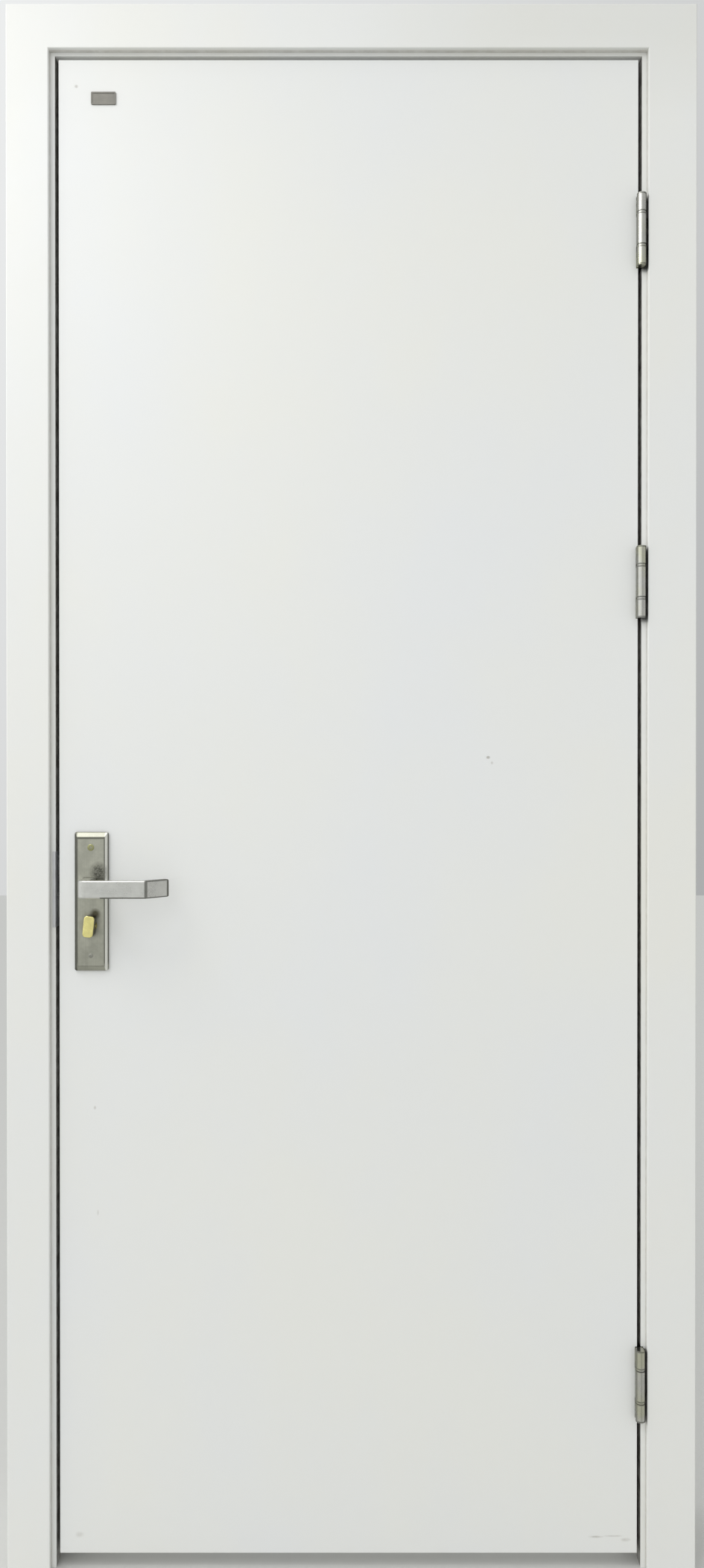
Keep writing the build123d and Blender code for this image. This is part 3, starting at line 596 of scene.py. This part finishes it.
def plate_metal():
    """The handle plates' satin nickel: darker low down, with a painted highlight on a bevel, painted
    shade and reflections.
    """
    nodes, tint = brushed_metal("plate_nickel", PLATE_NICKEL, UP_GRAIN, 0.34, 0.48, depth=0.66)
    x, _, z = nodes.axes()
    # Darker toward the plate's foot
    low_darkening = nodes.ramp(z, PLATE_LOW[2] + PLATE_LOW_DARK_HEIGHT, PLATE_LOW[2], 0.0, PLATE_LOW_DARK_SHARE)
    tint = nodes.mix(low_darkening, tint, TARNISH_AND_SHADE)
    # Painted highlight down the plate's right-hand bevel
    highlight_line = nodes.ramp(nodes.gap(x, PLATE_HIGH[0] - HIGHLIGHT_FROM_SIDE), HIGHLIGHT_START, HIGHLIGHT_FULL)
    tint = nodes.mix(highlight_line, tint, BEVEL_HIGHLIGHT)
    nodes.link(nodes.ramp(highlight_line, 0.0, 1.0, 1.0, HIGHLIGHT_METALLIC), nodes.shader.inputs["Metallic"])
    # Painted shade and painted reflections on the plate
    tint = nodes.mix(plate_painted_shade(nodes), tint, TARNISH_AND_SHADE)

    turn_x, turn_z = (TURN_LOW[0] + TURN_HIGH[0]) / 2, (TURN_LOW[2] + TURN_HIGH[2]) / 2
    # Painted reflection of the brass thumb turn round it
    halo = plate_spot(nodes, turn_x - TURN_HALO_SHIFT, turn_z, TURN_HALO_SIZE)
    tint = nodes.mix(nodes.math("MULTIPLY", halo, TURN_HALO_SHARE), tint, BRASS_REFLECTION)
    # Painted dark reflection of the thumb turn, up and to its right
    turn_reflection_x, _, turn_reflection_z = mark_point(*TURN_REFLECTION_PIXEL)
    turn_reflection = plate_spot(nodes, turn_reflection_x, turn_reflection_z, TURN_REFLECTION_SIZE)
    nodes.colour(nodes.mix(nodes.math("MULTIPLY", turn_reflection, TURN_REFLECTION_SHARE), tint, BRASS_DARK_REFLECTION))
    return nodes.material


def lever_metal():
    """The levers' satin nickel, with painted shade along the lower edge, at the bend and round the tip.
    """
    nodes, tint = brushed_metal("lever_nickel", LEVER_NICKEL, ALONG_GRAIN, 0.24, 0.36)
    low, high = SPINDLE_Z - LEVER_HALF_HEIGHT, SPINDLE_Z + LEVER_HALF_HEIGHT
    neck, bend = SPINDLE_X + LEVER_NECK_RUN, LEVER_TIP_X - LEVER_TIP_RUN
    near_y, far_y = -0.2, 0.2
    # Painted shade along the lower edge, at the bend and round the tip
    lines = (
        ((neck, near_y, low), (LEVER_TIP_X, far_y, low + LEVER_EDGE_WIDTH), 0.90),
        ((bend - 0.0012, near_y, low), (bend + 0.0014, far_y, high), 0.70),
        ((LEVER_TIP_X - 0.0014, near_y, low), (LEVER_TIP_X, far_y, high), 0.90),
        ((bend, near_y, high - LEVER_EDGE_WIDTH), (LEVER_TIP_X, far_y, high), 0.80),
    )
    soft = (0.0012, 0.001, 0.0010)
    masks = [nodes.math("MULTIPLY", nodes.box(start, end, soft), dark) for start, end, dark in lines]
    nodes.colour(nodes.mix(nodes.strongest(masks), tint, TARNISH_AND_SHADE))
    return nodes.material


def hinge_metal():
    """The hinges' satin steel, a little olive, dirty at its joints, with painted shade in lines up the
    barrel.
    """
    nodes, tint = brushed_metal("hinge_steel", HINGE_STEEL, UP_GRAIN, 0.20, 0.32)
    olive = nodes.ramp(nodes.noise(OLIVE_SCALE), 0.46, 0.62, 0.0, 0.75)
    tint = nodes.mix(olive, tint, HINGE_OLIVE)
    x, _, z = nodes.axes()

    level = nodes.gap(z, HINGE_MIDDLES[0])
    for middle in HINGE_MIDDLES[1:]:
        level = nodes.math("MINIMUM", level, nodes.gap(z, middle))
    ring = (RINGS_HIGH[2] - RINGS_LOW[2]) / 2 - RING_HEIGHT / 2
    by_ring = nodes.gap(nodes.gap(level, ring), RING_HEIGHT / 2)
    by_cap = nodes.gap(level, HINGE_HALF - PIN_CAP)
    start, full, share = HINGE_JOINT_LINE
    joints = nodes.ramp(nodes.math("MINIMUM", by_ring, by_cap), start, full, 0.0, share)

    # Painted shade down the barrel's left edge and along its middle
    start, full, share = HINGE_LEFT_LINE
    left = nodes.ramp(x, BARREL_LEFT_X + start, BARREL_LEFT_X + full, 0.0, share)
    start, full, share = HINGE_MIDDLE_LINE
    middle = nodes.ramp(nodes.gap(x, (BARREL_LEFT_X + BARREL_RIGHT_X) / 2), start, full, 0.0, share)
    tint = nodes.mix(nodes.strongest([joints, left, middle]), tint, TARNISH_AND_SHADE)
    # Painted shade down the barrel's right side
    start, full, share = HINGE_RIGHT_LINE
    right = nodes.ramp(x, BARREL_RIGHT_X - start, BARREL_RIGHT_X - full, 0.0, share)
    nodes.colour(nodes.mix(right, tint, DEEP_SHADE))
    return nodes.material


def polished_brass(name, colour, rough_low, rough_high):
    """Lacquered brass with faint handling marks."""
    nodes = Nodes(name)
    wear = nodes.noise(BRASS_WEAR_SCALE, detail=4.0, roughness=0.6)
    tint = nodes.mix(nodes.ramp(wear, 0.3, 0.7), shade(colour, 0.86), colour)
    nodes.colour(tint)
    nodes.link(nodes.ramp(wear, 0.3, 0.7, rough_low, rough_high), nodes.shader.inputs["Roughness"])
    nodes.link(nodes.bump(wear, strength=0.04, distance=0.0002), nodes.shader.inputs["Normal"])
    nodes.shader.inputs["Metallic"].default_value = 1.0
    return nodes, tint


def turn_metal():
    """The thumb turn's brass, bright on its face, with a painted dark reflection on its sides and neck.
    """
    nodes, tint = polished_brass("turn_brass", BRASS, 0.18, 0.30)
    _, y, _ = nodes.axes()
    # Painted dark reflection on the turn's sides and neck, behind its face
    face_y = TURN_LOW[1] + TURN_FACE_DEPTH
    side = nodes.ramp(y, face_y, face_y + TURN_FACE_DEPTH, 0.0, TURN_SIDE_SHARE)
    nodes.colour(nodes.mix(side, tint, BRASS_DARK_REFLECTION))
    return nodes.material


def matt_stuff(name, colour, scale, rough):
    """A plain matt surface with fine grain, for the seal and the raw core."""
    nodes = Nodes(name)
    grain = nodes.noise(scale, detail=4.0, roughness=0.6)
    nodes.colour(nodes.mix(nodes.ramp(grain, 0.3, 0.7), shade(colour, 0.75), colour))
    nodes.link(nodes.bump(grain, strength=0.25, distance=0.0004), nodes.shader.inputs["Normal"])
    nodes.shader.inputs["Roughness"].default_value = rough
    return nodes.material


# The material of each slot, then the nodes and the screws that have their own
MATERIALS = {
    "frame_paint": frame_sheet(),
    "leaf_paint": leaf_sheet(),
    "leaf_core": matt_stuff("core_buff", CORE_BUFF, CORE_GRAIN_SCALE, 0.85),
    "seal_rubber": matt_stuff("seal_black", SEAL_GREY, SEAL_GRAIN_SCALE, 0.70),
    "hinge_steel": hinge_metal(),
    "handle_steel": plate_metal(),
    "lock_steel": brushed_metal(
        "lock_steel", LOCK_STEEL, UP_GRAIN, 0.34, 0.46, metallic=0.45
    )[0].material,
    "turn_brass": polished_brass("cylinder_brass", BRASS, 0.22, 0.34)[0].material,
    "badge_metal": brushed_metal(
        "badge_metal", BADGE_GREY, ALONG_GRAIN, 0.50, 0.62, metallic=0.6, depth=0.64
    )[0].material,
}
OWN_METAL = {"thumb_turn": turn_metal()}
OWN_METAL["front_lever"] = OWN_METAL["back_lever"] = lever_metal()
SCREW_BRASS = polished_brass("screw_brass", OLD_BRASS, 0.30, 0.45)[0].material
SCREW_STEEL = brushed_metal("screw_steel", LOCK_STEEL, UP_GRAIN, 0.30, 0.45)[0].material
SCREW_DULL = brushed_metal("screw_dull", WORN_NICKEL, UP_GRAIN, 0.40, 0.55)[0].material


def dress_nodes():
    """Gives each carried-over node the material of its slot, or its own."""
    slots = {row["node"]: row["material_slot"] for row in frame["record"]["subparts"]}
    for name, shape in frame["nodes"].items():
        shape.data.materials.clear()
        shape.data.materials.append(OWN_METAL.get(name) or MATERIALS[slots[name]])


def cut(shape, cutter):
    """Cuts one mesh object by another and leaves the result as its mesh."""
    tool = shape.modifiers.new("cut", "BOOLEAN")
    tool.operation = "DIFFERENCE"
    tool.object = cutter
    tool.solver = "EXACT"
    tool.use_self = True
    graph = bpy.context.evaluated_depsgraph_get()
    made = bpy.data.meshes.new_from_object(shape.evaluated_get(graph))
    shape.modifiers.clear()
    shape.data = made
    bpy.data.objects.remove(cutter)


def mesh_object(name, build):
    """A mesh object made by a function that fills a bmesh."""
    mesh = bpy.data.meshes.new(name)
    solid = bmesh.new()
    build(solid)
    bmesh.ops.recalc_face_normals(solid, faces=solid.faces)
    solid.to_mesh(mesh)
    solid.free()
    made = bpy.data.objects.new(name, mesh)
    bpy.context.scene.collection.objects.link(made)
    return made


def lathe(profile):
    """A function that fills a bmesh with a profile of (radius, height) turned about Z."""

    def build(solid):
        rings = []
        for radius, height in profile:
            ring = []
            for step in range(SCREW_SIDES):
                angle = 2 * math.pi * step / SCREW_SIDES
                ring.append(solid.verts.new((radius * math.cos(angle), radius * math.sin(angle), height)))
            rings.append(ring)
        for lower, upper in zip(rings, rings[1:]):
            for step in range(SCREW_SIDES):
                after = (step + 1) % SCREW_SIDES
                solid.faces.new((lower[step], lower[after], upper[after], upper[step]))
        solid.faces.new(list(reversed(rings[0])))
        solid.faces.new(rings[-1])

    return build


def cross(radius):
    """A function that fills a bmesh with a cross-head driver's tip, point down."""
    reach, half_width = radius * CROSS_REACH, radius * CROSS_WIDTH / 2
    corners = ((-1, -1), (1, -1), (1, 1), (-1, 1))

    def build(solid):
        for half_x, half_y in ((reach, half_width), (half_width, reach)):
            tip_x, tip_y = half_x * CROSS_TAPER, half_y * CROSS_TAPER
            top = [solid.verts.new((half_x * a, half_y * b, CROSS_TOP)) for a, b in corners]
            low = [solid.verts.new((tip_x * a, tip_y * b, -CROSS_DEPTH)) for a, b in corners]
            solid.faces.new(top)
            solid.faces.new(list(reversed(low)))
            for step in range(4):
                after = (step + 1) % 4
                solid.faces.new((low[step], low[after], top[after], top[step]))

    return build


def screw(name, place, outward, radius, material, slot, body, turn=SCREW_TURN):
    """A raised countersunk screw head with a cross recess, seated in a face."""
    profile = (
        (radius * 0.72, -SCREW_SINK),
        (radius, -SCREW_SINK * 0.15),
        (radius, SCREW_RISE * 0.15),
        (radius * 0.90, SCREW_RISE * 0.55),
        (radius * 0.65, SCREW_RISE * 0.88),
        (radius * 0.30, SCREW_RISE),
    )
    head = mesh_object(name, lathe(profile))
    cut(head, mesh_object(name + "_driver", cross(radius)))
    facing = Vector(outward).to_track_quat("Z", "Y").to_matrix().to_4x4()
    head.data.transform(Matrix.Translation(place) @ facing @ Matrix.Rotation(turn, 4, "Z"))
    for face in head.data.polygons:
        face.use_smooth = False
    head.data.materials.clear()
    head.data.materials.append(material)
    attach(head, body)


def plate_screws():
    """The two screws through each handle plate: old brass above, smaller dull nickel below."""
    x = (PLATE_LOW[0] + PLATE_HIGH[0]) / 2
    upper, lower = PLATE_HIGH[2] - PLATE_SCREW_FROM_END, PLATE_LOW[2] + PLATE_SCREW_FROM_END
    rows = (
        ("upper", upper, PLATE_SCREW_RADIUS, SCREW_BRASS, "turn_brass"),
        ("lower", lower, SUNK_SCREW_RADIUS, SCREW_DULL, "lock_steel"),
    )
    for level, z, radius, metal, slot in rows:
        screw(f"front_plate_screw_{level}", (x, PLATE_LOW[1], z), (0, -1, 0), radius, metal, slot, "leaf")
        screw(f"back_plate_screw_{level}", (x, BACK_PLATE_Y, z), (0, 1, 0), radius, metal, slot, "leaf")


def hinge_screws():
    """Four screws in each hinge plate, the end ones nearer the front than the middle ones."""
    sides = (
        ("door", "leaf", LEAF_HIGH[0], (1, 0, 0)),
        ("frame", "frame", HINGE_REBATE_X, (-1, 0, 0)),
    )
    for hinge in HINGES:
        for side, body, x, outward in sides:
            low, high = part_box(f"hinge_{hinge}_{side}_plate")
            for step, y in enumerate(HINGE_SCREW_DEPTHS):
                up = HINGE_SCREW_FIRST + HINGE_SCREW_STEP * step
                screw(
                    f"hinge_{hinge}_{side}_screw_{step + 1}",
                    (x, y, low[2] + (high[2] - low[2]) * up),
                    outward,
                    HINGE_SCREW_RADIUS,
                    SCREW_STEEL,
                    "hinge_steel",
                    body,
                    HINGE_SCREW_TURN * step,
                )


def lock_screws():
    """The screws at both ends of the forend and of the strike plate."""
    middle = (LEAF_LOW[1] + LEAF_BACK_Y) / 2
    small = (SMALL_SCREW_RADIUS, SCREW_STEEL, "lock_steel")
    low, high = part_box("lock_forend")
    x, outward = low[0] + FOREND_SCREW_INSET, (-1, LEADING_EDGE_BEVEL / LEAF_BACK_Y, 0)
    screw("forend_screw_upper", (x, middle, high[2] - FOREND_SCREW_FROM_END), outward, *small, "leaf")
    screw("forend_screw_lower", (x, middle, low[2] + FOREND_SCREW_FROM_END), outward, *small, "leaf")
    low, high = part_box("strike_plate")
    x, outward = high[0], (1, 0, 0)
    screw("strike_screw_upper", (x, middle, high[2] - STRIKE_SCREW_FROM_END), outward, *small, "frame")
    screw("strike_screw_lower", (x, middle, low[2] + STRIKE_SCREW_FROM_END), outward, *small, "frame")


def lay_floor():
    """The pale floor under the door."""
    floor = mesh_object(
        "floor",
        lambda solid: bmesh.ops.create_grid(solid, x_segments=1, y_segments=1, size=FLOOR_REACH),
    )
    nodes = Nodes("floor_pale")
    nodes.colour(nodes.mix(nodes.noise(FLOOR_GRAIN_SCALE), shade(FLOOR_COLOUR, 0.97), FLOOR_COLOUR))
    nodes.shader.inputs["Roughness"].default_value = FLOOR_ROUGHNESS
    floor.data.materials.append(nodes.material)


def light_sky():
    """A plain sky that grows evenly brighter upward, to the front and to the left."""
    world = bpy.data.worlds.new("studio")
    world.use_nodes = True
    links, made = world.node_tree.links, world.node_tree.nodes
    direction = made.new("ShaderNodeTexCoord").outputs["Generated"]
    slope = made.new("ShaderNodeVectorMath")
    slope.operation = "DOT_PRODUCT"
    links.new(direction, slope.inputs[0])
    slope.inputs[1].default_value = WORLD_SLOPE
    level = made.new("ShaderNodeMath")
    level.operation = "ADD"
    links.new(slope.outputs["Value"], level.inputs[0])
    level.inputs[1].default_value = WORLD_ALL_ROUND
    sky = made["Background"]
    sky.inputs["Color"].default_value = (*WORLD_COLOUR, 1.0)
    links.new(level.outputs["Value"], sky.inputs["Strength"])
    bpy.context.scene.world = world


def hang_lamps():
    """The soft lamps: one in front, one overhead to the left and one to the right."""
    for name, (place, aim, width, height, power) in LAMPS.items():
        light = bpy.data.lights.new(name, "AREA")
        light.shape = "RECTANGLE"
        light.size, light.size_y = width, height
        light.energy = power
        light.color = LAMP_COLOUR
        lamp = bpy.data.objects.new(name, light)
        lamp.location = place
        lamp.rotation_euler = (Vector(aim) - Vector(place)).to_track_quat("-Z", "Y").to_euler()
        bpy.context.scene.collection.objects.link(lamp)


def photograph_camera():
    """The photograph's camera: about level with the door's middle and almost square on."""
    view_x, view_y, view_z = door_point(*AIM_PIXEL)
    distance = LENS_MM / SENSOR_MM * PHOTO_HEIGHT * METRES_PER_PIXEL
    eye = bpy.data.cameras.new("camera")
    eye.lens = LENS_MM
    eye.sensor_width = SENSOR_MM
    camera = bpy.data.objects.new("camera", eye)
    camera.location = (view_x, view_y - distance, view_z + distance * math.tan(CAMERA_TILT_DOWN))
    camera.rotation_euler = (math.pi / 2 - CAMERA_TILT_DOWN, 0, 0)
    bpy.context.scene.collection.objects.link(camera)
    bpy.context.scene.camera = camera


dress_nodes()
plate_screws()
hinge_screws()
lock_screws()
lay_floor()
light_sky()
hang_lamps()
photograph_camera()
bpy.context.scene.view_settings.view_transform = "Standard"
